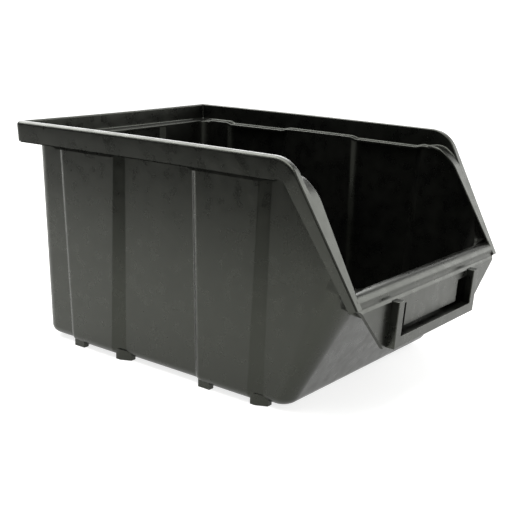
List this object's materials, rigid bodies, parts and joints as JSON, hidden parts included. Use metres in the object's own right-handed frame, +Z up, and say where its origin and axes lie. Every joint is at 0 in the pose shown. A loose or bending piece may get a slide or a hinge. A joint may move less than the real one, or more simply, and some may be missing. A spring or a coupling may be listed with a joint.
{
  "type": "open-fronted stacking bin",
  "caption": "Open-fronted stacking bin for small parts: tray body with ribbed sides, flanged rim, sloping mouth, rolled front lip, label holder and small feet.",
  "frame": {"origin": "centre of the plan outline, on the plane the feet stand on", "axes": "+Z up, -Y towards the open front, +X towards the right-hand wall seen from behind"},
  "size_m": [0.164, 0.2354, 0.1292],
  "materials": {
    "plastic": "moulded black polypropylene, satin, slightly mottled"
  },
  "bodies": {
    "root": {"floor_pan": "plastic", "front_wall": "plastic", "back_wall": "plastic", "side_wall_right": "plastic", "side_wall_left": "plastic", "rim_right": "plastic", "rim_left": "plastic", "rim_back": "plastic", "slope_flange_right": "plastic", "slope_flange_left": "plastic", "front_lip": "plastic", "label_apron": "plastic", "label_bar_right": "plastic", "label_bar_left": "plastic", "label_sill": "plastic", "pocket_back": "plastic", "pocket_side_right": "plastic", "pocket_side_left": "plastic", "foot_1_right": "plastic", "foot_1_left": "plastic", "foot_2_right": "plastic", "foot_2_left": "plastic", "foot_3_right": "plastic", "foot_3_left": "plastic", "foot_4_right": "plastic", "foot_4_left": "plastic"}
  },
  "joints": []
}
